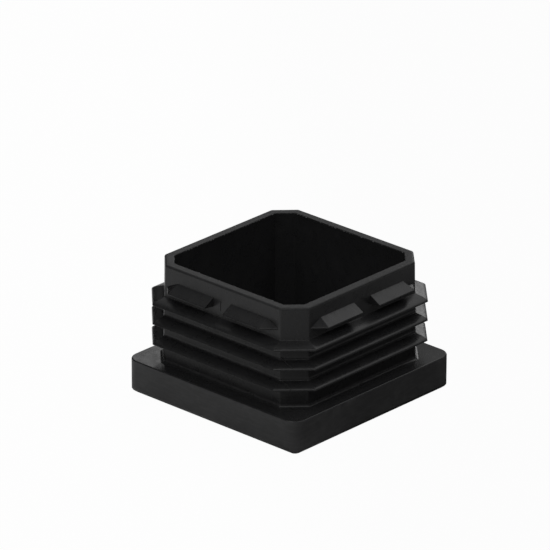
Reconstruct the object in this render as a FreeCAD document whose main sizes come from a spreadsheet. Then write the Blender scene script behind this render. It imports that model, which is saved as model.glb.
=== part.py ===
"""Ribbed plug insert for the end of a square tube, standing on its head with the open end up.

One moulding: a square head with a pillowed outer face, and on it a hollow eight-sided plug
with full ribs and a broken centring ring near its mouth. Sizes are millimetres.
"""
import FreeCAD, Part
import math
import os
import Sketcher

os.makedirs("parts", exist_ok=True)
doc = FreeCAD.newDocument("TubeEndCap")

# Driving sizes
sizes = [
    ("head_width", 40.0, "outside of the square head, flush with the tube"),
    ("head_corner_radius", 2.5, "upright corners of the head"),
    ("side_band", 4.9, "upright side of the head, from parting line to shoulder"),
    ("border_width", 3.0, "rounded border round the panel of the outer face"),
    ("border_depth", 2.0, "drop of that border from the parting line to the outer face"),
    ("border_edge_radius", 1.2, "tighter part of the border's curve, next to the side"),
    ("border_step", 0.03, "how far the border's curve stands past the side and the panel"),
    ("shoulder_edge_radius", 0.25, "rounded outer edge of the shoulder"),
    ("plug_height", 18.3, "from the shoulder to the mouth"),
    ("shoulder_width", 3.0, "step from the head's side in to the plug, which the tube's end seats on"),
    ("plug_taper", 0.3, "how much narrower the plug is at its mouth than at the shoulder"),
    ("plug_chamfer", 3.42, "leg of the plug's cut corners"),
    ("root_fillet", 0.7, "fillet where the plug meets the shoulder"),
    ("rim_radius", 0.4, "rounded outer edge of the mouth"),
    ("wall", 1.65, "wall of the plug at the mouth"),
    ("floor_thickness", 2.6, "floor of the hollow"),
    ("hollow_draft", 0.4, "how much narrower the hollow is at its floor than at the mouth"),
    ("core_inset", 0.4, "how deep the ribs and the ring are rooted in the wall"),
    ("rib_count", 3, "full ribs"),
    ("rib_inset", 0.73, "from the head's side in to the ribs' outer edges"),
    ("rib_chamfer", 5.1, "leg of the ribs' cut corners"),
    ("rib_edge", 0.35, "thickness of a rib at its outer edge"),
    ("rib_rise", 0.8, "rise of a rib's upper face from its edge to the wall"),
    ("rib_drop", 0.35, "fall of a rib's lower face from its edge to the wall"),
    ("first_rib", 3.95, "from the shoulder to the lower edge of the lowest rib"),
    ("rib_pitch", 3.7, "from one rib to the next"),
    ("ring_inset", 0.96, "from the head's side in to the centring ring"),
    ("ring_chamfer", 8.25, "leg of the centring ring's cut corners"),
    ("ring_level", 14.46, "from the shoulder to the upper edge of the ring's land"),
    ("ring_land", 0.25, "upright outer edge of the ring"),
    ("ring_rise", 1.2, "rise of the ring's upper face from its land to the wall"),
    ("ring_drop", 0.3, "fall of the ring's lower face from its land to the wall"),
    ("ring_corner_run", 1.76, "run of the ring's upper face across a cut corner"),
    ("ring_gap", 4.05, "gap in the ring at the middle of each side"),
]
sheet = doc.addObject("Spreadsheet::Sheet", "Sizes")
for row, (alias, value, note) in enumerate(sizes, start=1):
    sheet.set(f"A{row}", note)
    sheet.set(f"B{row}", str(value))
    sheet.setAlias(f"B{row}", alias)
doc.recompute()

# Sizes that follow from the others, as expressions on the sheet
headTop = "(Sizes.side_band + Sizes.border_depth)"
mouthLevel = f"({headTop} + Sizes.plug_height)"
rootWidth = "(Sizes.head_width - 2 * Sizes.shoulder_width)"
mouthWidth = f"({rootWidth} - Sizes.plug_taper)"
coreWidth = f"({mouthWidth} - 2 * Sizes.core_inset)"
cornerShare = "(2 - sqrt(2))"  # change of a cut corner's leg per unit that an octagon is offset
coreChamfer = f"(Sizes.plug_chamfer - Sizes.core_inset * {cornerShare})"
hollowWidth = f"({mouthWidth} - 2 * Sizes.wall)"
hollowChamfer = f"(Sizes.plug_chamfer - Sizes.wall * {cornerShare})"
ribLevel = f"({headTop} + Sizes.first_rib)"
ribWidth = "(Sizes.head_width - 2 * Sizes.rib_inset)"
ribRooting = f"(({ribWidth} - {coreWidth}) / ({ribWidth} - {mouthWidth}))"
ringLevel = f"({headTop} + Sizes.ring_level)"
ringWidth = "(Sizes.head_width - 2 * Sizes.ring_inset)"
ringRooting = f"(({ringWidth} - {coreWidth}) / ({ringWidth} - {mouthWidth}))"
ringRootChamfer = (f"({coreWidth} - {ringWidth} + Sizes.ring_chamfer"
                   f" + Sizes.ring_corner_run * {ringRooting} * sqrt(2))")
ringUnderside = f"({ringLevel} - Sizes.ring_land - Sizes.ring_drop * {ringRooting})"
topRibEnd = (f"({ribLevel} + (Sizes.rib_count - 1) * Sizes.rib_pitch + Sizes.rib_edge"
             f" + Sizes.rib_rise)")

closeEnough = 0.001  # difference at which two levels or widths still count as equal
leastCut = 0.01  # least volume in cubic millimetres that a cut has to take away

body = doc.addObject("PartDesign::Body", "EndCap")
body.Label = "end_cap"


def evaluate(formula):
    """The present value of an expression on the sheet."""
    return float(sheet.evalExpression(formula))


def originFeature(role):
    return next(feature for feature in body.Origin.OriginFeatures if feature.Role == role)


def newSketch(name, role="XY_Plane", level=None):
    """A sketch on one of the body's planes, lifted to a level given as an expression."""
    sketch = body.newObject("Sketcher::SketchObject", name)
    sketch.AttachmentSupport = [(originFeature(role), "")]
    sketch.MapMode = "FlatFace"
    if level:
        sketch.setExpression("AttachmentOffset.Base.z", level)
    return sketch


def drive(sketch, kind, *where, formula):
    """Adds a length to a sketch and binds it to the sheet."""
    constraint = Sketcher.Constraint(kind, *where, evaluate(formula))
    index = sketch.addConstraint(constraint)
    sketch.setExpression(f"Constraints[{index}]", formula)


def closedOutline(sketch, corners):
    """Straight lines through the corners and back to the first."""
    points = [FreeCAD.Vector(x, y, 0) for x, y in corners]
    first = sketch.GeometryCount
    for start, end in zip(points, points[1:] + points[:1]):
        sketch.addGeometry(Part.LineSegment(start, end))
    for side in range(len(points)):
        after = first + (side + 1) % len(points)
        sketch.addConstraint(Sketcher.Constraint("Coincident", first + side, 2, after, 1))


def octagonSketch(name, level, width, leg):
    """An octagon centred on the axis: a square of the given width with its corners cut."""
    sketch = newSketch(name, level=level)
    half = evaluate(width) / 2
    near = half - evaluate(leg)
    closedOutline(sketch, [(half, near), (near, half), (-near, half), (-half, near),
                           (-half, -near), (-near, -half), (near, -half), (half, -near)])
    for right, left in ((0, 3), (1, 2), (7, 4), (6, 5)):
        sketch.addConstraint(Sketcher.Constraint("Symmetric", right, 1, left, 1, -2))
    for upper, lower in ((0, 7), (1, 6)):
        sketch.addConstraint(Sketcher.Constraint("Symmetric", upper, 1, lower, 1, -1))
    drive(sketch, "DistanceX", -1, 1, 0, 1, formula=f"{width} / 2")
    drive(sketch, "DistanceY", -1, 1, 0, 1, formula=f"{width} / 2 - {leg}")
    drive(sketch, "DistanceX", -1, 1, 1, 1, formula=f"{width} / 2 - {leg}")
    drive(sketch, "DistanceY", -1, 1, 1, 1, formula=f"{width} / 2")
    return sketch


def straightLoft(kind, name, sections):
    """A loft with flat sides through outlines that lie one above the other."""
    feature = body.newObject(f"PartDesign::{kind}", name)
    feature.Profile = sections[0]
    feature.Sections = sections[1:]
    feature.Ruled = True
    doc.recompute()
    return feature


def roundEdges(name, radius, test):
    """A fillet on those edges of the body's present shape that pass the test."""
    base = body.Tip
    numbered = enumerate(base.Shape.Edges, start=1)
    fillet = body.newObject("PartDesign::Fillet", name)
    fillet.Base = (base, [f"Edge{number}" for number, edge in numbered if test(edge)])
    fillet.setExpression("Radius", radius)
    doc.recompute()
    return fillet


def liesAt(edge, level):
    """Whether an edge lies flat at a level."""
    return all(abs(vertex.Z - level) < closeEnough for vertex in edge.Vertexes)


def reachOf(edge):
    """How far an edge's middle stands from the axis, measured square to a side."""
    middle = edge.valueAt((edge.FirstParameter + edge.LastParameter) / 2)
    return max(abs(middle.x), abs(middle.y))


def turnedCopies(name, original, count):
    """Copies of a feature about the upright axis."""
    pattern = body.newObject("PartDesign::PolarPattern", name)
    pattern.Originals = [original]
    pattern.Axis = (originFeature("Z_Axis"), [""])
    pattern.Angle = 360
    pattern.Occurrences = count
    body.Tip = pattern
    doc.recompute()
    return pattern


def checkCut(before, feature):
    """Stops when a feature that should take material away took none."""
    if feature.Shape.Volume >= before - leastCut:
        raise RuntimeError(f"{feature.Name} removes nothing")


# Head: a square plate with rounded upright corners
headHalf = evaluate("Sizes.head_width / 2")
headSketch = newSketch("HeadOutline")
closedOutline(headSketch, [(headHalf, -headHalf), (headHalf, headHalf),
                           (-headHalf, headHalf), (-headHalf, -headHalf)])
headSketch.addConstraint(Sketcher.Constraint("Symmetric", 0, 1, 3, 1, -2))
headSketch.addConstraint(Sketcher.Constraint("Symmetric", 1, 1, 2, 1, -2))
headSketch.addConstraint(Sketcher.Constraint("Symmetric", 0, 1, 1, 1, -1))
drive(headSketch, "DistanceX", -1, 1, 1, 1, formula="Sizes.head_width / 2")
drive(headSketch, "DistanceY", -1, 1, 1, 1, formula="Sizes.head_width / 2")
head = body.newObject("PartDesign::Pad", "Head")
head.Profile = headSketch
head.setExpression("Length", headTop)
doc.recompute()
headHeight = evaluate(headTop)
roundEdges("HeadCorners", "Sizes.head_corner_radius",
           lambda edge: abs(edge.Vertexes[0].Z - edge.Vertexes[-1].Z) > headHeight / 2)

# Border of the outer face: a shallow curve into a tighter one, mitred at the corners
borderSketch = newSketch("BorderCurve", "XZ_Plane")
edgeRadius = evaluate("Sizes.border_edge_radius")
borderStep = evaluate("Sizes.border_step")
borderDepth = evaluate("Sizes.border_depth")
borderRun = evaluate("Sizes.border_width") + borderStep - edgeRadius
borderDrop = borderDepth + borderStep
faceRadius = (borderRun**2 / (borderDrop - edgeRadius) + edgeRadius + borderDrop) / 2
panelHalf = evaluate("Sizes.head_width / 2 - Sizes.border_width")
clear = 1.0  # how far the cut reaches past the head
faceCentre = FreeCAD.Vector(panelHalf, faceRadius - borderStep, 0)
edgeCentre = FreeCAD.Vector(headHalf + borderStep - edgeRadius, borderDepth, 0)
join = math.atan2(edgeCentre.y - faceCentre.y, edgeCentre.x - faceCentre.x)
upright = FreeCAD.Vector(0, 0, 1)
faceCircle = Part.Circle(faceCentre, upright, faceRadius)
edgeCircle = Part.Circle(edgeCentre, upright, edgeRadius)
outer = headHalf + clear
borderSketch.addGeometry(Part.ArcOfCircle(faceCircle, -math.pi / 2, join))
borderSketch.addGeometry(Part.ArcOfCircle(edgeCircle, join, 0))
corners = [(headHalf + borderStep, borderDepth), (outer, borderDepth), (outer, -clear),
           (panelHalf, -clear), (panelHalf, -borderStep)]
points = [FreeCAD.Vector(x, y, 0) for x, y in corners]
for start, end in zip(points, points[1:]):
    borderSketch.addGeometry(Part.LineSegment(start, end))
borderSketch.addConstraint(Sketcher.Constraint("Tangent", 0, 2, 1, 1))
for line, after in ((1, 2), (2, 3), (3, 4), (4, 5), (5, 0)):
    borderSketch.addConstraint(Sketcher.Constraint("Coincident", line, 2, after, 1))
for line in (2, 4):
    borderSketch.addConstraint(Sketcher.Constraint("Horizontal", line))
for line in (3, 5):
    borderSketch.addConstraint(Sketcher.Constraint("Vertical", line))
borderSketch.addConstraint(Sketcher.Constraint("Vertical", 0, 3, 0, 1))
borderSketch.addConstraint(Sketcher.Constraint("Horizontal", 1, 3, 1, 2))
borderSketch.addConstraint(Sketcher.Constraint("DistanceX", 2, 1, 2, 2, clear - borderStep))
borderSketch.addConstraint(Sketcher.Constraint("DistanceY", 3, 2, -1, 1, clear))
drive(borderSketch, "Radius", 1, formula="Sizes.border_edge_radius")
drive(borderSketch, "DistanceX", -1, 1, 0, 1, formula="Sizes.head_width / 2 - Sizes.border_width")
drive(borderSketch, "DistanceY", 0, 1, -1, 1, formula="Sizes.border_step")
drive(borderSketch, "DistanceX", -1, 1, 1, 2, formula="Sizes.head_width / 2 + Sizes.border_step")
drive(borderSketch, "DistanceY", -1, 1, 1, 2, formula="Sizes.border_depth")
before = body.Shape.Volume
border = body.newObject("PartDesign::Pocket", "Border")
border.Profile = borderSketch
border.Type = "Length"
border.SideType = "Symmetric"
border.setExpression("Length", "Sizes.head_width * 2")
doc.recompute()
checkCut(before, border)
turnedCopies("BorderSides", border, 4)
roundEdges("ShoulderEdge", "Sizes.shoulder_edge_radius", lambda edge: liesAt(edge, headHeight))

# Core of the plug, which the ribs and the ring are rooted in
coreSketch = octagonSketch("CoreOutline", headTop, coreWidth, coreChamfer)
core = body.newObject("PartDesign::Pad", "Core")
core.Profile = coreSketch
core.setExpression("Length", "Sizes.plug_height")
doc.recompute()

# Centring ring: a barbed collar, broken at the middle of each side
ringOctagon = (ringWidth, "Sizes.ring_chamfer")
straightLoft("AdditiveLoft", "Ring", [
    octagonSketch("RingUnderside", ringUnderside, coreWidth, ringRootChamfer),
    octagonSketch("RingLandLower", f"({ringLevel} - Sizes.ring_land)", *ringOctagon),
    octagonSketch("RingLandUpper", ringLevel, *ringOctagon),
    octagonSketch("RingTop", f"({ringLevel} + Sizes.ring_rise * {ringRooting})",
                  coreWidth, ringRootChamfer),
])
gapLevel = f"(({topRibEnd} + {ringUnderside}) / 2)"
gapSketch = newSketch("RingGapOutline", level=gapLevel)
gapStart = evaluate(f"{coreWidth} / 2 - Sizes.core_inset")
gapEnd = evaluate(f"{ringWidth} / 2") + clear
gapHalf = evaluate("Sizes.ring_gap / 2")
closedOutline(gapSketch, [(gapStart, -gapHalf), (gapEnd, -gapHalf),
                          (gapEnd, gapHalf), (gapStart, gapHalf)])
gapSketch.addConstraint(Sketcher.Constraint("Symmetric", 0, 1, 3, 1, -1))
gapSketch.addConstraint(Sketcher.Constraint("Symmetric", 1, 1, 2, 1, -1))
drive(gapSketch, "DistanceX", -1, 1, 3, 1, formula=f"{coreWidth} / 2 - Sizes.core_inset")
drive(gapSketch, "DistanceY", -1, 1, 3, 1, formula="Sizes.ring_gap / 2")
drive(gapSketch, "DistanceY", -1, 1, 2, 1, formula="Sizes.ring_gap / 2")
drive(gapSketch, "DistanceX", -1, 1, 2, 1, formula=f"{ringWidth} / 2 + {clear}")
before = body.Shape.Volume
gap = body.newObject("PartDesign::Pocket", "RingGap")
gap.Profile = gapSketch
gap.Type = "ThroughAll"
gap.Reversed = True
doc.recompute()
checkCut(before, gap)
turnedCopies("RingGaps", gap, 4)

# Wall of the plug, a little narrower at the mouth, and its fillet on the shoulder
straightLoft("AdditiveLoft", "Plug", [
    octagonSketch("PlugRoot", headTop, rootWidth, "Sizes.plug_chamfer"),
    octagonSketch("PlugMouth", mouthLevel, mouthWidth, "Sizes.plug_chamfer"),
])
rootHalf = evaluate(f"{rootWidth} / 2")
roundEdges("RootFillet", "Sizes.root_fillet",
           lambda edge: liesAt(edge, headHeight) and reachOf(edge) < rootHalf + closeEnough)

# Ribs: thin barbed collars, all alike
ribOctagon = (ribWidth, "Sizes.rib_chamfer")
rib = straightLoft("AdditiveLoft", "Rib", [
    octagonSketch("RibUnderside", f"({ribLevel} - Sizes.rib_drop * {ribRooting})",
                  coreWidth, coreChamfer),
    octagonSketch("RibEdgeLower", ribLevel, *ribOctagon),
    octagonSketch("RibEdgeUpper", f"({ribLevel} + Sizes.rib_edge)", *ribOctagon),
    octagonSketch("RibTop", f"({ribLevel} + Sizes.rib_edge + Sizes.rib_rise * {ribRooting})",
                  coreWidth, coreChamfer),
])
ribs = body.newObject("PartDesign::LinearPattern", "Ribs")
ribs.Originals = [rib]
ribs.Direction = (originFeature("Z_Axis"), [""])
ribs.setExpression("Length", "Sizes.rib_pitch * (Sizes.rib_count - 1)")
ribs.setExpression("Occurrences", "Sizes.rib_count")
body.Tip = ribs
doc.recompute()

# Hollow, open at the mouth
before = body.Shape.Volume
hollow = straightLoft("SubtractiveLoft", "Hollow", [
    octagonSketch("HollowMouth", mouthLevel, hollowWidth, hollowChamfer),
    octagonSketch("HollowFloor", "Sizes.floor_thickness",
                  f"({hollowWidth} - Sizes.hollow_draft)", hollowChamfer),
])
checkCut(before, hollow)
mouthHeight = evaluate(mouthLevel)
rimHalf = evaluate(f"({mouthWidth} + {hollowWidth}) / 4")
roundEdges("RimEdge", "Sizes.rim_radius",
           lambda edge: liesAt(edge, mouthHeight) and reachOf(edge) > rimHalf)

# Every feature has to be sound before the piece is written
doc.recompute()
for item in doc.Objects:
    if "Invalid" in item.State or "Error" in item.State:
        raise RuntimeError(f"{item.Name} failed: {item.State}")
if body.Shape.isNull() or not body.Shape.isValid() or len(body.Shape.Solids) != 1:
    raise RuntimeError("end_cap is not one sound solid")
body.Shape.exportStep(f"parts/{body.Label}.step")
box = body.Shape.BoundBox
print(f"{body.Label}: {box.XLength:.3f} x {box.YLength:.3f} x {box.ZLength:.3f} mm,"
      f" volume {body.Shape.Volume:.1f} mm3, {len(body.Shape.Faces)} faces")
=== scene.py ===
import bpy
import bmesh
import math
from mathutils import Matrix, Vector


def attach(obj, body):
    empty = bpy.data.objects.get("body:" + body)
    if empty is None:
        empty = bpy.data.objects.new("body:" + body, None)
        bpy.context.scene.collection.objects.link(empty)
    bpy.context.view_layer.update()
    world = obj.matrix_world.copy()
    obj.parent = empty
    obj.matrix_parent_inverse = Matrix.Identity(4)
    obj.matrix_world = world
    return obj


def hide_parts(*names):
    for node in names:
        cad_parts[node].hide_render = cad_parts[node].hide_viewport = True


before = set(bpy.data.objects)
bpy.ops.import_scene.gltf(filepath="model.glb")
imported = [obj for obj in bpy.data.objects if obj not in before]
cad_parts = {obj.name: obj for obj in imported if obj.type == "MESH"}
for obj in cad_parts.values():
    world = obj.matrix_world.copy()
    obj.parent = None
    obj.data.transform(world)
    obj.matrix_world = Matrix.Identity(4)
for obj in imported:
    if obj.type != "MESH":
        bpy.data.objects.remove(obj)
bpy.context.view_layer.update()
scene = bpy.context.scene
mm = 0.001
octagonSides = 8
turn = 360 / octagonSides  # degrees between neighbouring sides of the plug
sharpAngle = 32.0  # edges steeper than this stay crisp
legShare = 2 - math.sqrt(2)  # how much a cut corner's leg grows when its octagon grows by 1
print("frame loaded:", sorted(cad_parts))


# small helpers for node trees

def connect(tree, socket, value):
    if isinstance(value, bpy.types.Node):
        value = value.outputs[0]
    if isinstance(value, bpy.types.NodeSocket):
        tree.links.new(value, socket)
    elif value is not None:
        socket.default_value = value


def addNode(tree, kind, settings=None, values=None):
    node = tree.nodes.new(kind)
    for name, value in (settings or {}).items():
        setattr(node, name, value)
    for key, value in (values or {}).items():
        connect(tree, node.inputs[key], value)
    return node


def calc(tree, operation, *terms):
    values = dict(enumerate(terms))
    return addNode(tree, "ShaderNodeMath", {"operation": operation}, values).outputs[0]


def newGeometryTree(name, sockets):
    tree = bpy.data.node_groups.new(name, "GeometryNodeTree")
    tree.interface.new_socket("Geometry", in_out="INPUT", socket_type="NodeSocketGeometry")
    for label, kind in sockets:
        tree.interface.new_socket(label, in_out="INPUT", socket_type="NodeSocket" + kind)
    tree.interface.new_socket("Geometry", in_out="OUTPUT", socket_type="NodeSocketGeometry")
    return tree, tree.nodes.new("NodeGroupInput"), tree.nodes.new("NodeGroupOutput")


def runTree(mesh, tree, values, name):
    # gives the tree's result as a plain mesh piece
    base = bpy.data.objects.new("base", mesh)
    scene.collection.objects.link(base)
    modifier = base.modifiers.new("tree", "NODES")
    modifier.node_group = tree
    for item in tree.interface.items_tree:
        if item.in_out == "INPUT" and item.name in values:
            modifier[item.identifier] = values[item.name]
    even = base.modifiers.new("even", "WEIGHTED_NORMAL")
    even.keep_sharp = True
    bpy.context.view_layer.update()
    graph = bpy.context.evaluated_depsgraph_get()
    made = bpy.data.meshes.new_from_object(base.evaluated_get(graph), depsgraph=graph)
    bpy.data.objects.remove(base)
    made.name = name
    piece = bpy.data.objects.new(name, made)
    scene.collection.objects.link(piece)
    return piece


# camera

camera = {
    "lens": 392.73,  # millimetres, as are all lengths here but the clip's
    "sensor": 36,
    "clip": (0.01, 20),  # metres
    "azimuth": 42.863,
    "elevation": 23.565,
    "roll": 0.102,
    "distance": 1032.95,
    "target": (0.0, 0.0, 14.538),
    "aside": 2.484,
    "down": 6.819,
}


def addCamera(c):
    azimuth, elevation, roll = (math.radians(c[k]) for k in ("azimuth", "elevation", "roll"))
    back = Vector((math.sin(azimuth) * math.cos(elevation),
                   -math.cos(azimuth) * math.cos(elevation), math.sin(elevation)))
    right = Vector((math.cos(azimuth), math.sin(azimuth), 0))
    up = back.cross(right)
    right, up = (right * math.cos(roll) + up * math.sin(roll),
                 up * math.cos(roll) - right * math.sin(roll))
    data = bpy.data.cameras.new("studioCamera")
    data.lens = c["lens"]
    data.sensor_width = c["sensor"]
    data.clip_start, data.clip_end = c["clip"]
    eye = bpy.data.objects.new("studioCamera", data)
    scene.collection.objects.link(eye)
    spot = Vector(c["target"]) - right * c["aside"] + up * c["down"] + back * c["distance"]
    pose = eye.matrix_world.copy()
    for column, axis in enumerate((right, up, back, spot * mm)):
        for row in range(3):
            pose[row][column] = axis[row]
    eye.matrix_world = pose
    scene.camera = eye


addCamera(camera)
print("camera set")


# body of the cap, in millimetres: a stack of eight-sided rings from the outer face up the outside
# and down into the hollow

body = {
    "headHalf": 19.995,
    "headCorner": 2.5,
    "headTop": 6.9,
    "borderStart": 17.0,
    "borderDepth": 2.0,
    "borderEdge": 1.2,
    "borderStep": 0.03,
    "borderSteps": 7,
    "mitre": 0.25,
    "mitreOuter": 1.3,
    "shoulderEdge": 0.25,
    "edgeSteps": 5,
    "plugHalf": 17.0,
    "plugLeg": 3.42,
    "plugTaper": 0.15,
    "plugCorner": 0.18,
    "rootFillet": 0.7,
    "mouth": 25.19,
    "rimOuter": 0.4,
    "rimInner": 0.12,
    "hollowHalf": 15.2,
    "hollowFloorHalf": 15.0,
    "hollowLeg": 2.453,
    "hollowCorner": 0.3,
    "floor": 2.6,
    "floorFillet": 0.6,
    "ribLevels": (10.835, 14.64, 18.19),
    "ribHalf": 19.27,
    "ribLeg": 5.1,
    "ribCorner": 0.3,
    "ribEdge": 0.35,
    "ribRise": 0.8,
    "ribDrop": 0.35,
    "ribRounding": 0.05,
    "ribLip": 0.06,  # upright part of a rib's edge, below the part that rolls over
    "ribRoll": 1.8,
    "ribBulge": 0.12,
    "ribUnder": 0.12,
    "ribRoots": (0.75, 0.75, 0.2),
    "rollSteps": 5,
    "creaseDepth": 0.08,
    "creaseWidth": 0.32,
    "creaseFillets": (0.05, 0.1, 0.1),
    "foot": 0.005,  # keeps the outer face just above the floor
    "filletSteps": 4,
    "arcSteps": 4,
    "sideSteps": 14,
    "leastCorner": 0.05,
    "merging": 0.002,
    "waveSize": 9.0,
    "waveHeight": 0.09,
    "waveSeed": 3.0,
}


def station(half, leg, corner, level, fillet=0.0, loose=0.0, edge=0.0):
    return {"at": (half, leg, corner, level, loose, edge), "fillet": fillet}


def headStation(b, half, level, fillet=0.0):
    # the head's upright corners are rounded, and fade into a mitre on the border
    reach = 2 * b["headHalf"] - b["headCorner"] * legShare  # x + y at the middle of a corner
    share = max((half - b["borderStart"]) / (b["headHalf"] - b["borderStart"]), 0)
    mitre = b["mitre"] + (b["mitreOuter"] - b["mitre"]) * share
    corner = max((2 * half - reach) / legShare, mitre)
    return station(half, corner * legShare, corner, level, fillet)


def borderCurve(b):
    # a shallow curve from the panel into a tighter one at the side
    steps, tight = b["borderSteps"], b["borderEdge"]
    run = b["headHalf"] + b["borderStep"] - b["borderStart"] - tight
    drop = b["borderDepth"] + b["borderStep"]
    wide = (run**2 / (drop - tight) + tight + drop) / 2
    join = math.atan2(b["borderDepth"] - wide + b["borderStep"], run)
    start = -math.asin((wide - b["borderStep"]) / wide)
    end = -math.acos((tight - b["borderStep"]) / tight)  # where the curve meets the upright side
    points = []
    for step in range(steps + 1):
        angle = start + (join - start) * step / steps
        points.append((b["borderStart"] + wide * math.cos(angle),
                       wide - b["borderStep"] + wide * math.sin(angle)))
    for step in range(1, steps + 1):
        angle = join + (end - join) * step / steps
        points.append((b["borderStart"] + run + tight * math.cos(angle),
                       b["borderDepth"] + tight * math.sin(angle)))
    return points


def offsetArc(b, half, leg, corner, level, radius, start, end):
    # stations of a rounded edge that keeps an equal distance from an octagon
    arc = []
    for step in range(b["edgeSteps"] + 1):
        angle = math.radians(start + (end - start) * step / b["edgeSteps"])
        out = radius * math.cos(angle)
        arc.append(station(half + out, leg + out * legShare, max(corner + out, b["leastCorner"]),
                           level + radius * math.sin(angle), edge=1.0))
    return arc


def ribStations(b, level, root, wall):
    # up the steep underside, over the rolled edge, and back along the sloping top
    low, high = level - b["ribDrop"], level + b["ribEdge"] + b["ribRise"]

    def across(share, height, fillet=0.0, edge=0.0):
        sizes = [near + (far - near) * share for near, far in (
            (wall(height), b["ribHalf"]), (b["plugLeg"], b["ribLeg"]),
            (b["plugCorner"], b["ribCorner"]))]
        return station(*sizes, height, fillet, share, edge)

    stack = [across(0, low, b["ribUnder"]), across(0.5, (low + level) / 2),
             across(1, level, b["ribRounding"], 1)]
    depth = b["ribHalf"] - wall(level)
    for step in range(b["rollSteps"] + 1):
        t = step / b["rollSteps"]
        inward = b["ribRoll"] * t**2
        height = (b["ribLip"] * (1 - t)**2 + (b["ribEdge"] + b["ribBulge"]) * 2 * t * (1 - t)
                  + (b["ribEdge"] + b["ribRise"] * b["ribRoll"] / depth) * t**2)
        stack.append(across(1 - inward / depth, level + height, 0, 1 - t))
    stack.append(across(0, high, root))
    return stack


def bodyStations(b):
    def wall(level):
        return b["plugHalf"] - b["plugTaper"] * (level - b["headTop"]) / (b["mouth"] - b["headTop"])

    curve = borderCurve(b)
    panelHalf = curve[0][0]
    foot, width = b["foot"], b["creaseWidth"]
    stack = [station(0, 0, 0, foot)]
    for inward, level, fillet in zip((width, width / 2, 0), (foot, b["creaseDepth"], foot),
                                     b["creaseFillets"]):
        stack.append(headStation(b, panelHalf - inward, level, fillet))
    stack += [headStation(b, half, level) for half, level in curve[1:]]
    stack.append(headStation(b, b["headHalf"], (b["borderDepth"] + b["headTop"]) / 2))
    edge = b["shoulderEdge"]
    stack += offsetArc(b, b["headHalf"] - edge, (b["headCorner"] - edge) * legShare,
                       b["headCorner"] - edge, b["headTop"] - edge, edge, 0, 90)
    root = b["rootFillet"]
    stack += offsetArc(b, b["plugHalf"] + root, b["plugLeg"] + root * legShare,
                       b["plugCorner"] + root, b["headTop"] + root, root, 270, 180)
    for level, ribRoot in zip(b["ribLevels"], b["ribRoots"]):
        stack += ribStations(b, level, ribRoot, wall)
    rim = b["rimOuter"]
    stack += offsetArc(b, wall(b["mouth"]) - rim, b["plugLeg"] - rim * legShare,
                       b["plugCorner"], b["mouth"] - rim, rim, 0, 90)
    stack += [
        station(b["hollowHalf"], b["hollowLeg"], b["hollowCorner"], b["mouth"], b["rimInner"]),
        station(b["hollowFloorHalf"], b["hollowLeg"], b["hollowCorner"], b["floor"],
                b["floorFillet"]),
        station(0, 0, 0, b["floor"]),
    ]
    return roundedStack(stack, b["filletSteps"])


def roundedStack(stack, steps):
    # puts a circular arc of stations in place of each station that has a fillet
    rounded = []
    for index, current in enumerate(stack):
        fillet = current["fillet"]
        if not fillet:
            rounded.append(current["at"])
            continue
        before, here, after = (Vector((s["at"][0], s["at"][3])) for s in stack[index - 1:index + 2])
        inward, outward = before - here, after - here
        angle = inward.angle(outward)
        reach = fillet / math.tan(angle / 2)
        weight = math.sin(angle / 2)
        ends = []
        for neighbour, way in ((stack[index - 1], inward), (stack[index + 1], outward)):
            share = min(reach / way.length, 0.5)
            ends.append([p + (q - p) * share for p, q in zip(current["at"], neighbour["at"])])
        for step in range(steps + 1):
            t = step / steps
            first, middle, last = (1 - t)**2, 2 * weight * t * (1 - t), t**2
            total = first + middle + last
            rounded.append(tuple((first * p + middle * q + last * r) / total for p, q, r
                                 in zip(ends[0], current["at"], ends[1])))
    return rounded


# where the soft ribs stand out of true: place, how far round it, and push, in millimetres
bends = (
    {"at": (-16.7, -16.7, 12.8), "reach": 9.0, "push": (-0.3, -0.3, 0.0)},
    {"at": (16.7, 16.7, 13.6), "reach": 5.5, "push": (0.22, 0.22, 0.0)},
    {"at": (-9.0, -19.3, 15.0), "reach": 9.0, "push": (0.0, 0.0, -0.06)},
)


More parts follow.
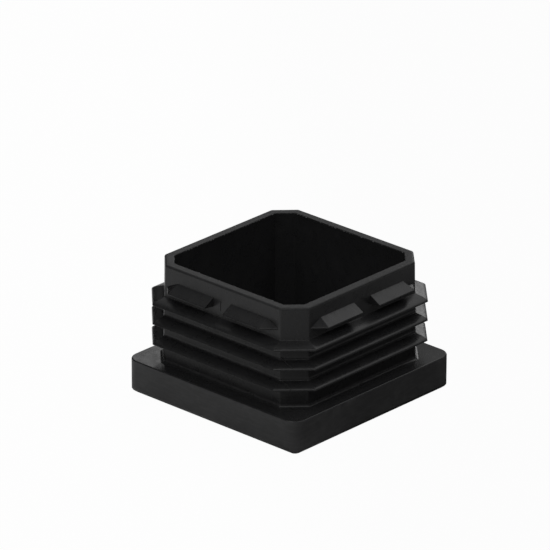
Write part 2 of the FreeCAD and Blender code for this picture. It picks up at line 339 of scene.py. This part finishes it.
def buildStackTree():
    tree, given, result = newGeometryTree("stackedOctagons", (
        ("Arc steps", "Int"), ("Side steps", "Int"), ("Merging", "Float"),
        ("Wave size", "Float"), ("Wave height", "Float"), ("Seed", "Float"),
        ("Finish", "Material")))
    stations = addNode(tree, "GeometryNodeAttributeDomainSize",
                       values={"Geometry": given.outputs["Geometry"]}).outputs["Point Count"]
    perSide = calc(tree, "ADD", given.outputs["Arc steps"], given.outputs["Side steps"])
    around = calc(tree, "MULTIPLY", perSide, octagonSides)
    grid = addNode(tree, "GeometryNodeMeshGrid", values={
        "Size X": around, "Size Y": calc(tree, "SUBTRACT", stations, 1),
        "Vertices X": calc(tree, "ADD", around, 1), "Vertices Y": stations})
    spot = addNode(tree, "ShaderNodeSeparateXYZ", values={
        0: tree.nodes.new("GeometryNodeInputPosition")})
    across = calc(tree, "ROUND", calc(tree, "MULTIPLY_ADD", around, 0.5, spot.outputs["X"]))
    level = calc(tree, "ROUND", calc(tree, "ADD", spot.outputs["Y"], calc(
        tree, "MULTIPLY", calc(tree, "SUBTRACT", stations, 1), 0.5)))

    def sample(kind, value):
        return addNode(tree, "GeometryNodeSampleIndex", {"data_type": kind}, {
            "Geometry": given.outputs["Geometry"], "Value": value, "Index": level}).outputs["Value"]

    def stored(name):
        return addNode(tree, "GeometryNodeInputNamedAttribute", {"data_type": "FLOAT"},
                       {"Name": name}).outputs["Attribute"]

    measures = addNode(tree, "ShaderNodeSeparateXYZ", values={
        0: sample("FLOAT_VECTOR", tree.nodes.new("GeometryNodeInputPosition"))})
    half, leg, height = measures.outputs
    corner, loose, edge = (sample("FLOAT", stored(name)) for name in ("corner", "loose", "edge"))
    octant = calc(tree, "FLOOR", calc(tree, "DIVIDE", across, perSide))
    along = calc(tree, "SUBTRACT", across, calc(tree, "MULTIPLY", octant, perSide))
    odd = calc(tree, "MODULO", octant, 2)
    root = math.sqrt(0.5)
    flat = calc(tree, "SUBTRACT", half, corner)
    cut = calc(tree, "SUBTRACT", calc(tree, "MULTIPLY", calc(
        tree, "SUBTRACT", calc(tree, "MULTIPLY", half, 2), leg), root), corner)
    swing = calc(tree, "MULTIPLY", odd, calc(tree, "SUBTRACT", cut, flat))
    here, there = calc(tree, "ADD", flat, swing), calc(tree, "SUBTRACT", cut, swing)
    facing = calc(tree, "MULTIPLY", octant, math.radians(turn))
    nextFacing = calc(tree, "ADD", facing, math.radians(turn))
    bend = calc(tree, "MINIMUM", calc(tree, "DIVIDE", along, given.outputs["Arc steps"]), 1)
    slide = calc(tree, "DIVIDE", calc(tree, "MAXIMUM", calc(
        tree, "SUBTRACT", along, given.outputs["Arc steps"]), 0), given.outputs["Side steps"])
    look = calc(tree, "MULTIPLY_ADD", bend, math.radians(turn), facing)

    def cornerCentre(angle, own, other):
        side = calc(tree, "SUBTRACT", calc(tree, "DIVIDE", other, root), own)
        cosine, sine = calc(tree, "COSINE", angle), calc(tree, "SINE", angle)
        return (calc(tree, "SUBTRACT", calc(tree, "MULTIPLY", own, cosine),
                     calc(tree, "MULTIPLY", side, sine)),
                calc(tree, "MULTIPLY_ADD", own, sine, calc(tree, "MULTIPLY", side, cosine)))

    centre, nextCentre = cornerCentre(facing, here, there), cornerCentre(nextFacing, there, here)
    plan = []
    for first, second, trig in zip(centre, nextCentre, ("COSINE", "SINE")):
        middle = calc(tree, "MULTIPLY_ADD", calc(tree, "SUBTRACT", second, first), slide, first)
        plan.append(calc(tree, "MULTIPLY_ADD", corner, calc(tree, trig, look), middle))
    target = addNode(tree, "ShaderNodeCombineXYZ", values={0: plan[0], 1: plan[1], 2: height})
    moved = addNode(tree, "GeometryNodeSetPosition", values={"Geometry": grid, "Position": target})
    kept = addNode(tree, "GeometryNodeStoreNamedAttribute", {"data_type": "FLOAT"}, {
        "Geometry": moved, "Name": "loose", "Value": loose})
    marked = addNode(tree, "GeometryNodeStoreNamedAttribute", {"data_type": "FLOAT"}, {
        "Geometry": kept, "Name": "edge", "Value": edge})
    joined = addNode(tree, "GeometryNodeMergeByDistance", values={
        "Geometry": marked, "Distance": given.outputs["Merging"]})
    wave = addNode(tree, "ShaderNodeTexNoise", {"noise_dimensions": "4D"}, {
        "W": given.outputs["Seed"], "Detail": 1.0,
        "Scale": calc(tree, "DIVIDE", 1, given.outputs["Wave size"])})
    centred = addNode(tree, "ShaderNodeVectorMath", {"operation": "SUBTRACT"}, {
        0: wave.outputs["Color"], 1: (0.5, 0.5, 0.5)})
    # the noise keeps within about a quarter of its middle, so it is stretched by 4
    push = addNode(tree, "ShaderNodeVectorMath", {"operation": "SCALE"}, {
        0: centred, "Scale": calc(tree, "MULTIPLY", stored("loose"), calc(
            tree, "MULTIPLY", given.outputs["Wave height"], 4))})
    for soft in bends:
        away = addNode(tree, "ShaderNodeVectorMath", {"operation": "DISTANCE"}, {
            0: tree.nodes.new("GeometryNodeInputPosition"),
            1: Vector(soft["at"]) * mm}).outputs["Value"]
        pull = addNode(tree, "ShaderNodeMapRange", {"interpolation_type": "SMOOTHSTEP"}, {
            "Value": away, "From Min": soft["reach"] * mm, "From Max": 0.0})
        pushed = addNode(tree, "ShaderNodeVectorMath", {"operation": "SCALE"}, {
            0: Vector(soft["push"]) * mm, "Scale": calc(tree, "MULTIPLY", pull, stored("loose"))})
        push = addNode(tree, "ShaderNodeVectorMath", {"operation": "ADD"}, {0: push, 1: pushed})
    waved = addNode(tree, "GeometryNodeSetPosition", values={"Geometry": joined, "Offset": push})
    real = addNode(tree, "GeometryNodeRealizeInstances", values={"Geometry": waved})
    smooth = addNode(tree, "GeometryNodeSetShadeSmooth", values={"Geometry": real})
    finished = addNode(tree, "GeometryNodeSetMaterial", values={
        "Geometry": smooth, "Material": given.outputs["Finish"]})
    tree.links.new(finished.outputs[0], result.inputs["Geometry"])
    return tree


def stationMesh(stations):
    mesh = bpy.data.meshes.new("stations")
    mesh.from_pydata([(s[0] * mm, s[1] * mm, s[3] * mm) for s in stations], [], [])
    for name, column in (("corner", 2), ("loose", 4), ("edge", 5)):
        layer = mesh.attributes.new(name, "FLOAT", "POINT")
        unit = mm if name == "corner" else 1
        layer.data.foreach_set("value", [s[column] * unit for s in stations])
    return mesh


# black moulded polyethylene: satin plug, smoother shoulder, scuffed head, leather grain on the
# outer face

finish = {
    "black": (0.02, 0.02, 0.0206, 1),
    "faded": (0.026, 0.026, 0.0266, 1),
    "headBlack": (0.041, 0.041, 0.0416, 1),
    "headFaded": (0.073, 0.073, 0.0736, 1),
    # pale edges: wear, plus a painted highlight along the rounded edges and on the rim burrs
    "paleWearAndHighlight": (0.135, 0.135, 0.136, 1),
    "specular": 0.33,
    "plugRoughness": 0.32,
    "shoulderRoughness": 0.26,
    "headRoughness": 0.4,
    "panelRoughness": 0.5,
    "roughVariation": 0.1,
    "rimRoughness": 0.48,
    "roughShift": -0.75,  # as a share of the variation
    "cloudSize": 6.0,  # sizes, heights and bands in millimetres
    "cloudRange": (0.35, 0.65),
    "mottleSize": 1.6,
    "mottleRange": (0.3, 0.7),
    "mottleShare": 0.7,
    "scuffWidth": 0.5,
    "scuffStretch": 5.0,
    "scuffRange": (0.45, 0.7),
    "scuffShare": 0.4,
    "wearSize": 0.9,
    "wearRange": (0.4, 0.65),
    "grainSize": 0.3,
    "grainHeight": 0.008,
    "rippleSize": 2.2,
    "rippleHeight": 0.02,
    "leatherSize": 0.55,
    "leatherEdge": 0.25,
    "leatherHeight": 0.05,
    "headBand": 0.15,  # how far below the shoulder the head's finish ends
    "headBlur": 0.06,  # half the width over which one finish passes into the next
    "shoulderBand": 0.3,
    "wallBand": 0.5,
    "wallBlur": 0.1,
    "rimBand": 0.3,
    "rimBlur": 0.1,
    "panelBand": 0.04,
    "panelBlur": 0.02,
    "borderBlur": 0.15,
    "beyond": 90.0,  # past the cap on every side
}


def between(tree, value, low, high, blur):
    # is 1 where the value lies between two limits, with soft ends
    rise = addNode(tree, "ShaderNodeMapRange", {"interpolation_type": "SMOOTHSTEP"}, {
        "Value": value, "From Min": low - blur, "From Max": low + blur})
    fall = addNode(tree, "ShaderNodeMapRange", {"interpolation_type": "SMOOTHSTEP"}, {
        "Value": value, "From Min": high - blur, "From Max": high + blur})
    return calc(tree, "SUBTRACT", rise, fall)


def mixValue(tree, share, first, second):
    values = {0: share, 2: first, 3: second}
    return addNode(tree, "ShaderNodeMix", {"data_type": "FLOAT"}, values).outputs[0]


def mixColour(tree, share, first, second):
    values = {0: share, 6: first, 7: second}
    return addNode(tree, "ShaderNodeMix", {"data_type": "RGBA"}, values).outputs[2]


def noise(tree, place, size, detail, seed):
    return addNode(tree, "ShaderNodeTexNoise", {"noise_dimensions": "4D"}, {
        "Vector": place, "W": seed, "Scale": 1 / (size * mm), "Detail": detail}).outputs["Fac"]


def spread(tree, value, limits):
    return addNode(tree, "ShaderNodeMapRange", values={
        "Value": value, "From Min": limits[0], "From Max": limits[1]}).outputs[0]


def buildPlastic(f, b):
    plastic = bpy.data.materials.new("blackPolyethylene")
    plastic.use_nodes = True
    tree = plastic.node_tree
    shader = tree.nodes["Principled BSDF"]
    place = tree.nodes.new("ShaderNodeTexCoord").outputs["Object"]
    spot = addNode(tree, "ShaderNodeSeparateXYZ", values={0: place})
    x, y, z = (calc(tree, "DIVIDE", axis, mm) for axis in spot.outputs)
    reach = calc(tree, "MAXIMUM", calc(tree, "ABSOLUTE", x), calc(tree, "ABSOLUTE", y))
    bottom, beyond = -f["beyond"], f["beyond"]
    headEnd = b["headTop"] - f["headBand"]
    head = between(tree, z, bottom, headEnd, f["headBlur"])
    outside = between(tree, reach, b["hollowHalf"] + f["wallBand"], beyond, f["wallBlur"])
    shoulder = calc(tree, "MULTIPLY", outside, between(
        tree, z, headEnd, b["headTop"] + f["shoulderBand"], f["headBlur"]))
    panel = calc(tree, "MULTIPLY", between(tree, z, bottom, f["panelBand"], f["panelBlur"]),
                 between(tree, reach, bottom, b["borderStart"], f["borderBlur"]))
    rim = between(tree, z, b["mouth"] - f["rimBand"], beyond, f["rimBlur"])
    cloud = spread(tree, noise(tree, place, f["cloudSize"], detail=2.0, seed=1.0),
                   f["cloudRange"])
    mottle = spread(tree, noise(tree, place, f["mottleSize"], detail=4.0, seed=2.0),
                    f["mottleRange"])
    grain = noise(tree, place, f["grainSize"], detail=2.0, seed=3.0)
    ripple = noise(tree, place, f["rippleSize"], detail=1.0, seed=4.0)
    # scuffs are drawn out along the head's sides
    stretch = 1 / f["scuffStretch"]
    along = addNode(tree, "ShaderNodeMapping", values={
        "Vector": place, "Scale": (stretch, stretch, 1.0)})
    scuff = spread(tree, noise(tree, along, f["scuffWidth"], detail=4.0, seed=6.0),
                   f["scuffRange"])
    faint = calc(tree, "MULTIPLY", cloud, mottle)
    plain = mixColour(tree, faint, f["black"], f["faded"])
    rubbing = calc(tree, "MULTIPLY_ADD", scuff, f["scuffShare"],
                   calc(tree, "MULTIPLY", faint, f["mottleShare"]))
    rubbed = mixColour(tree, rubbing, f["headBlack"], f["headFaded"])
    # edges are paler, partly from rubbing and partly as a painted highlight along the rounded
    # edges: the meshes carry an attribute that says where
    edge = addNode(tree, "ShaderNodeAttribute", {"attribute_name": "edge"}).outputs["Fac"]
    wearAndPaintedHighlight = calc(tree, "MULTIPLY", edge, spread(
        tree, noise(tree, place, f["wearSize"], detail=3.0, seed=5.0), f["wearRange"]))
    colour = mixColour(tree, wearAndPaintedHighlight, mixColour(tree, head, plain, rubbed), f["paleWearAndHighlight"])
    tree.links.new(colour, shader.inputs["Base Color"])
    finishes = mixValue(tree, head, f["plugRoughness"], f["headRoughness"])
    finishes = mixValue(tree, shoulder, finishes, f["shoulderRoughness"])
    finishes = mixValue(tree, panel, finishes, f["panelRoughness"])
    finishes = mixValue(tree, rim, finishes, f["rimRoughness"])
    marksHere = calc(tree, "ADD", mottle, calc(tree, "MULTIPLY", scuff, head))
    vary = calc(tree, "MULTIPLY_ADD", marksHere, f["roughVariation"],
                f["roughShift"] * f["roughVariation"])
    rough = calc(tree, "ADD", finishes, vary)
    tree.links.new(rough, shader.inputs["Roughness"])
    cells = addNode(tree, "ShaderNodeTexVoronoi", {"feature": "DISTANCE_TO_EDGE"}, {
        "Vector": place, "Scale": 1 / (f["leatherSize"] * mm)}).outputs["Distance"]
    leather = calc(tree, "MULTIPLY", spread(tree, cells, (0.0, f["leatherEdge"])), panel)
    height = calc(tree, "MULTIPLY", grain, f["grainHeight"])
    height = calc(tree, "MULTIPLY_ADD", ripple, f["rippleHeight"], height)
    height = calc(tree, "MULTIPLY_ADD", leather, f["leatherHeight"], height)
    bump = addNode(tree, "ShaderNodeBump", values={
        "Height": height, "Strength": 1.0, "Distance": mm})
    tree.links.new(bump.outputs[0], shader.inputs["Normal"])
    shader.inputs["Specular IOR Level"].default_value = f["specular"]
    return plastic


plastic = buildPlastic(finish, body)
print("plastic mixed")

capBody = runTree(stationMesh(bodyStations(body)), buildStackTree(), {
    "Arc steps": body["arcSteps"], "Side steps": body["sideSteps"], "Merging": body["merging"] * mm,
    "Wave size": body["waveSize"] * mm, "Wave height": body["waveHeight"] * mm,
    "Seed": body["waveSeed"], "Finish": plastic}, "capBody")
capBody.data.set_sharp_from_angle(angle=math.radians(sharpAngle))
print("body built:", len(capBody.data.polygons), "faces")


# centring ring: wedges round the corners, with a gap at the middle of each side

ring = {
    "half": 19.04,  # millimetres
    "leg": 8.25,
    "level": 21.38,
    "land": 0.25,
    "rise": 1.2,
    "drop": 0.3,
    "cornerRun": 1.76,
    "gap": 4.05,
    "wallHalf": 16.88,
    "rooting": 0.4,
    "rounding": 0.12,
    "roundingSteps": 2,
    "sides": 4,
}


def buildWedgePair(r):
    # the two wedges of one side: flat land, sloping top, and a cut end that runs into the wall
    rootHalf = r["wallHalf"] - r["rooting"]
    stretch = (r["half"] - rootHalf) / (r["half"] - r["wallHalf"])
    rootLeg = 2 * rootHalf - 2 * r["half"] + r["leg"] + r["cornerRun"] * stretch * math.sqrt(2)
    low, high = r["level"] - r["land"], r["level"]
    rootLow, rootHigh = low - r["drop"] * stretch, high + r["rise"] * stretch
    landEnd, rootEnd = r["half"] - r["leg"], rootHalf - rootLeg
    cutEnd = 2 * r["half"] - r["leg"] - rootHalf
    shape = bmesh.new()
    for side in (1, -1):
        corners = [(x, y * side, z) for x, levels, y in (
            (rootHalf, (rootLow, rootHigh), r["gap"] / 2), (r["half"], (low, high), r["gap"] / 2),
            (r["half"], (low, high), landEnd), (rootHalf, (rootLow, rootHigh), rootEnd),
            (rootHalf, (low, high), cutEnd)) for z in levels]
        points = [shape.verts.new(Vector(p) * mm) for p in corners]
        bmesh.ops.convex_hull(shape, input=points)
    bmesh.ops.dissolve_limit(shape, angle_limit=math.radians(0.5), verts=shape.verts[:],
                             edges=shape.edges[:])
    bmesh.ops.recalc_face_normals(shape, faces=shape.faces)
    bmesh.ops.bevel(shape, geom=shape.edges[:], offset=r["rounding"] * mm,
                    segments=r["roundingSteps"], profile=0.5, affect="EDGES", clamp_overlap=True)
    mesh = bpy.data.meshes.new("wedgePair")
    shape.to_mesh(mesh)
    shape.free()
    return mesh


def buildTurnTree():
    tree, given, result = newGeometryTree("turnedCopies", (
        ("Copies", "Int"), ("Finish", "Material")))
    spots = addNode(tree, "GeometryNodePoints", values={"Count": given.outputs["Copies"]})
    number = tree.nodes.new("GeometryNodeInputIndex")
    step = calc(tree, "DIVIDE", math.tau, given.outputs["Copies"])
    turned = addNode(tree, "ShaderNodeCombineXYZ", values={
        2: calc(tree, "MULTIPLY", number, step)})
    copies = addNode(tree, "GeometryNodeInstanceOnPoints", values={
        "Points": spots, "Instance": given.outputs["Geometry"], "Rotation": turned})
    real = addNode(tree, "GeometryNodeRealizeInstances", values={"Geometry": copies})
    smooth = addNode(tree, "GeometryNodeSetShadeSmooth", values={"Geometry": real})
    finished = addNode(tree, "GeometryNodeSetMaterial", values={
        "Geometry": smooth, "Material": given.outputs["Finish"]})
    tree.links.new(finished.outputs[0], result.inputs["Geometry"])
    return tree


centringRing = runTree(buildWedgePair(ring), buildTurnTree(),
                       {"Copies": ring["sides"], "Finish": plastic}, "centringRing")
centringRing.data.set_sharp_from_angle(angle=math.radians(sharpAngle))
print("centring ring built")


# marks of the mould: small burrs on the inner rim, parting ticks on the rib edges, fine strings

marks = {
    "strings": (  # start and end, in millimetres
        ((13.68, -16.92, 16.2), (16.3, -16.93, 15.08)),
        ((13.94, -16.93, 12.02), (16.3, -17.15, 11.16)),
        ((-0.35, -16.91, 22.3), (-0.35, -16.91, 20.6)),
    ),
    "stringRadius": 0.055,
    "stringSag": 0.1,
    "stringWaves": 900.0,  # scale of the noise that bends them, per metre
    "stringSeed": 2.0,
    "tubeSteps": 14,
    "tubeSides": 8,
    "tickAcross": (0.26, -0.34, -0.59),  # one for each rib, from the top
    "tickHeight": 0.6,  # as a share of the rib's edge
    "tickRadius": 0.05,
    "burrs": 170,  # all round the inner edge of the rim, most of them very small
    "burrLevel": 25.04,
    "burrRadius": 0.15,
    "burrStretch": 1.8,
    "burrLeast": 0.45,
    "burrBias": 3.0,  # the higher, the more of them are small
    "burrDetail": 2,
    "burrSeed": 4,
}


def buildTubeTree():
    tree, given, result = newGeometryTree("fineTubes", (
        ("Steps", "Int"), ("Sides", "Int"), ("Radius", "Float"), ("Sag", "Float"),
        ("Waves", "Float"), ("Seed", "Float"), ("Finish", "Material")))
    curve = addNode(tree, "GeometryNodeMeshToCurve", values={"Mesh": given.outputs["Geometry"]})
    fine = addNode(tree, "GeometryNodeResampleCurve", values={
        "Curve": curve, "Count": given.outputs["Steps"]})
    wander = addNode(tree, "ShaderNodeTexNoise", {"noise_dimensions": "4D"}, {
        "W": given.outputs["Seed"], "Scale": given.outputs["Waves"], "Detail": 1.0})
    centred = addNode(tree, "ShaderNodeVectorMath", {"operation": "SUBTRACT"}, {
        0: wander.outputs["Color"], 1: (0.5, 0.5, 0.5)})
    push = addNode(tree, "ShaderNodeVectorMath", {"operation": "SCALE"}, {
        0: centred, "Scale": given.outputs["Sag"]})
    bent = addNode(tree, "GeometryNodeSetPosition", values={"Geometry": fine, "Offset": push})
    section = addNode(tree, "GeometryNodeCurvePrimitiveCircle", values={
        "Resolution": given.outputs["Sides"], "Radius": given.outputs["Radius"]})
    tube = addNode(tree, "GeometryNodeCurveToMesh", values={
        "Curve": bent, "Profile Curve": section, "Fill Caps": True})
    real = addNode(tree, "GeometryNodeRealizeInstances", values={"Geometry": tube})
    finished = addNode(tree, "GeometryNodeSetMaterial", values={
        "Geometry": real, "Material": given.outputs["Finish"]})
    tree.links.new(finished.outputs[0], result.inputs["Geometry"])
    return tree


def buildBurrTree():
    tree, given, result = newGeometryTree("rimBurrs", (
        ("Count", "Int"), ("Radius", "Float"), ("Stretch", "Float"), ("Least", "Float"),
        ("Bias", "Float"), ("Detail", "Int"), ("Seed", "Int"), ("Finish", "Material")))
    path = addNode(tree, "GeometryNodeMeshToCurve", values={"Mesh": given.outputs["Geometry"]})
    spots = addNode(tree, "GeometryNodeCurveToPoints", {"mode": "COUNT"}, {
        "Curve": path, "Count": given.outputs["Count"]})
    lump = addNode(tree, "GeometryNodeMeshIcoSphere", values={
        "Radius": given.outputs["Radius"], "Subdivisions": given.outputs["Detail"]})
    chance = addNode(tree, "FunctionNodeRandomValue", {"data_type": "FLOAT"}, {
        "Min": given.outputs["Least"], "Max": 1.0,
        "Seed": given.outputs["Seed"]}).outputs["Value"]
    size = calc(tree, "POWER", chance, given.outputs["Bias"])
    shape = addNode(tree, "ShaderNodeCombineXYZ", values={
        0: size, 1: size, 2: calc(tree, "MULTIPLY", size, given.outputs["Stretch"])})
    copies = addNode(tree, "GeometryNodeInstanceOnPoints", values={
        "Points": spots.outputs["Points"], "Instance": lump,
        "Rotation": spots.outputs["Rotation"], "Scale": shape})
    real = addNode(tree, "GeometryNodeRealizeInstances", values={"Geometry": copies})
    # the burrs carry the pale edge colour as painted glints
    paintedGlints = addNode(tree, "GeometryNodeStoreNamedAttribute", {"data_type": "FLOAT"}, {
        "Geometry": real, "Name": "edge", "Value": 1.0})  # painted glints: the burrs are marked pale all over
    smooth = addNode(tree, "GeometryNodeSetShadeSmooth", values={"Geometry": paintedGlints})
    finished = addNode(tree, "GeometryNodeSetMaterial", values={
        "Geometry": smooth, "Material": given.outputs["Finish"]})
    tree.links.new(finished.outputs[0], result.inputs["Geometry"])
    return tree


def markMesh(name, pairs):
    mesh = bpy.data.meshes.new(name)
    mesh.from_pydata([Vector(spot) * mm for pair in pairs for spot in pair],
                     [(2 * n, 2 * n + 1) for n in range(len(pairs))], [])
    return mesh


def innerRimMesh(b, level):
    # the octagon of the hollow's mouth as a closed wire
    half, short = b["hollowHalf"], b["hollowHalf"] - b["hollowLeg"]
    spots = [(half, -short), (half, short), (short, half), (-short, half),
             (-half, short), (-half, -short), (-short, -half), (short, -half)]
    mesh = bpy.data.meshes.new("innerRim")
    mesh.from_pydata([(x * mm, y * mm, level * mm) for x, y in spots],
                     [(n, (n + 1) % octagonSides) for n in range(octagonSides)], [])
    return mesh


def makeTubes(name, pairs, radius, sag=0.0):
    return runTree(markMesh(name + "Path", pairs), tubeTree, {
        "Steps": marks["tubeSteps"], "Sides": marks["tubeSides"], "Radius": radius * mm,
        "Sag": sag * mm, "Waves": marks["stringWaves"], "Seed": marks["stringSeed"],
        "Finish": plastic}, name)


tubeTree = buildTubeTree()
mouldStrings = makeTubes("mouldStrings", marks["strings"], marks["stringRadius"],
                         marks["stringSag"])
ticks = [((across, -body["ribHalf"], level + body["ribEdge"] * marks["tickHeight"]),
          (across, -body["ribHalf"], level))
         for across, level in zip(marks["tickAcross"], reversed(body["ribLevels"]))]
partingTicks = makeTubes("partingTicks", ticks, marks["tickRadius"])
rimBurrs = runTree(innerRimMesh(body, marks["burrLevel"]), buildBurrTree(), {
    "Count": marks["burrs"], "Radius": marks["burrRadius"] * mm, "Stretch": marks["burrStretch"],
    "Least": marks["burrLeast"], "Bias": marks["burrBias"], "Detail": marks["burrDetail"],
    "Seed": marks["burrSeed"], "Finish": plastic}, "rimBurrs")
print("mould marks made")


# floor, lamps and world

stage = {
    "floorHalf": 3.0,  # metres
    "floorDrop": 0.0001,
    "floorColour": (0.76, 0.76, 0.76, 1),
    "floorShade": (0.1, 0.1, 0.1, 1),
    "shadeSide": 135.0,  # azimuth towards which the paper's colour is painted darker, as painted shade
    "shadeReach": 0.02,  # metres to each side of the middle over which it does
    "floorWhite": 0.975,  # how far the camera sees plain white instead of the lit paper
    "mirrorWhite": 0.42,  # and how far gloss sees it, away from the cap
    "mirrorOffset": 0.015,  # metres from the cap to the middle of the painted shadow in that white
    "mirrorNear": 0.045,
    "mirrorFar": 0.085,
    "skySteps": ((0.0, 0.02), (0.342, 0.05), (0.57, 0.25), (0.72, 1.1), (0.906, 0.6),
                 (1.0, 0.05)),  # height, from horizon to overhead, and light
    "darkSide": 295.0,  # azimuth of the side with no window
    "darkStart": 0.21,
    "darkFull": 0.68,
}
lamps = {  # azimuth, elevation, distance, size and watts
    "frontSoftbox": (-4, 42, 0.9, 0.9, 1.45),
    "backSoftbox": (173, 56, 0.9, 0.73, 0.32),
    "rimPanel": (206, 13, 0.9, 0.25, 0.36),
    "lowPanel": (222, 21, 0.9, 0.5, 0.17),
    "cornerLamp": (229.9, 26.0, 0.251, 0.035, 0.0045),
}


def towards(azimuth, elevation):
    a, e = math.radians(azimuth), math.radians(elevation)
    return Vector((math.sin(a) * math.cos(e), -math.cos(a) * math.cos(e), math.sin(e)))


def buildFloor(s):
    mesh = bpy.data.meshes.new("studioFloor")
    half, low = s["floorHalf"], -s["floorDrop"]
    mesh.from_pydata([(x * half, y * half, low) for x, y in ((-1, -1), (1, -1), (1, 1), (-1, 1))],
                     [], [(0, 1, 2, 3)])
    floor = bpy.data.objects.new("studioFloor", mesh)
    scene.collection.objects.link(floor)
    paper = bpy.data.materials.new("paleFloor")
    paper.use_nodes = True
    tree = paper.node_tree
    tree.nodes.clear()
    place = tree.nodes.new("ShaderNodeTexCoord").outputs["Object"]
    # painted shade: the paper's own colour darkens towards the shaded side
    side = addNode(tree, "ShaderNodeVectorMath", {"operation": "DOT_PRODUCT"}, {
        0: place, 1: towards(s["shadeSide"], 0)}).outputs["Value"]
    shade = addNode(tree, "ShaderNodeMapRange", {"interpolation_type": "SMOOTHSTEP"}, {
        "Value": side, "From Min": -s["shadeReach"], "From Max": s["shadeReach"]})
    paintedShadeTint = addNode(tree, "ShaderNodeMix", {"data_type": "RGBA"}, {
        0: shade, 6: s["floorColour"], 7: s["floorShade"]})
    matte = addNode(tree, "ShaderNodeBsdfDiffuse", values={"Color": paintedShadeTint.outputs[2]})
    white = addNode(tree, "ShaderNodeEmission", values={"Color": (1, 1, 1, 1), "Strength": 1.0})
    rays = tree.nodes.new("ShaderNodeLightPath")
    mirrored = calc(tree, "MAXIMUM", rays.outputs["Is Glossy Ray"],
                    rays.outputs["Is Transmission Ray"])
    # gloss sees the white only away from the cap; nearer, the dim patch is a painted shadow of the
    # cap
    away = addNode(tree, "ShaderNodeVectorMath", {"operation": "DISTANCE"}, {
        0: place, 1: towards(s["shadeSide"], 0) * s["mirrorOffset"]}).outputs["Value"]
    bright = addNode(tree, "ShaderNodeMapRange", {"interpolation_type": "SMOOTHSTEP"}, {
        "Value": away, "From Min": s["mirrorNear"], "From Max": s["mirrorFar"],
        "To Max": s["mirrorWhite"]})
    share = calc(tree, "MULTIPLY_ADD", rays.outputs["Is Camera Ray"], s["floorWhite"],
                 calc(tree, "MULTIPLY", mirrored, bright))
    lit = addNode(tree, "ShaderNodeMixShader", values={0: share, 1: matte, 2: white})
    clear = addNode(tree, "ShaderNodeBsdfTransparent")  # the floor can be seen through from below
    under = tree.nodes.new("ShaderNodeNewGeometry").outputs["Backfacing"]
    shown = addNode(tree, "ShaderNodeMixShader", values={0: under, 1: lit, 2: clear})
    addNode(tree, "ShaderNodeOutputMaterial", values={0: shown})
    mesh.materials.append(paper)


def buildWorld(s):
    # a bright band at half height, dim at the horizon and overhead, with one side in shade
    world = bpy.data.worlds.new("studio")
    world.use_nodes = True
    scene.world = world
    tree = world.node_tree
    tree.nodes.clear()
    way = tree.nodes.new("ShaderNodeTexCoord").outputs["Generated"]
    height = addNode(tree, "ShaderNodeSeparateXYZ", values={0: way}).outputs["Z"]
    band = addNode(tree, "ShaderNodeFloatCurve", values={"Value": height})
    curve = band.mapping.curves[0]
    band.mapping.use_clip = False
    for step, (level, light) in enumerate(s["skySteps"]):
        if step < 2:
            curve.points[step].location = (level, light)
        else:
            curve.points.new(level, light)
    band.mapping.update()
    side = addNode(tree, "ShaderNodeVectorMath", {"operation": "DOT_PRODUCT"}, {
        0: way, 1: towards(s["darkSide"], 0)}).outputs["Value"]
    window = addNode(tree, "ShaderNodeMapRange", {"interpolation_type": "SMOOTHSTEP"}, {
        "Value": side, "From Min": s["darkStart"], "From Max": s["darkFull"],
        "To Min": 1.0, "To Max": 0.0})
    light = calc(tree, "MULTIPLY", band, window)
    seen = tree.nodes.new("ShaderNodeLightPath").outputs["Is Camera Ray"]
    strength = addNode(tree, "ShaderNodeMix", {"data_type": "FLOAT"}, {0: seen, 2: light, 3: 1.0})
    paint = addNode(tree, "ShaderNodeBackground", values={
        "Color": (1, 1, 1, 1), "Strength": strength})
    addNode(tree, "ShaderNodeOutputWorld", values={0: paint})


def addLamp(name, azimuth, elevation, distance, size, watts):
    data = bpy.data.lights.new(name, "AREA")
    data.shape = "SQUARE"
    data.size = size
    data.energy = watts
    lamp = bpy.data.objects.new(name, data)
    scene.collection.objects.link(lamp)
    way = towards(azimuth, elevation)
    lamp.location = way * distance
    lamp.rotation_mode = "QUATERNION"
    lamp.rotation_quaternion = (-way).to_track_quat("-Z", "Y")
    lamp.visible_camera = False


buildFloor(stage)
buildWorld(stage)
for name, made in lamps.items():
    addLamp(name, *made)
scene.view_settings.view_transform = "Standard"
print("studio lit")

for piece in (capBody, centringRing, mouldStrings, partingTicks, rimBurrs):
    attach(piece, "root")
    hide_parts("end_cap")
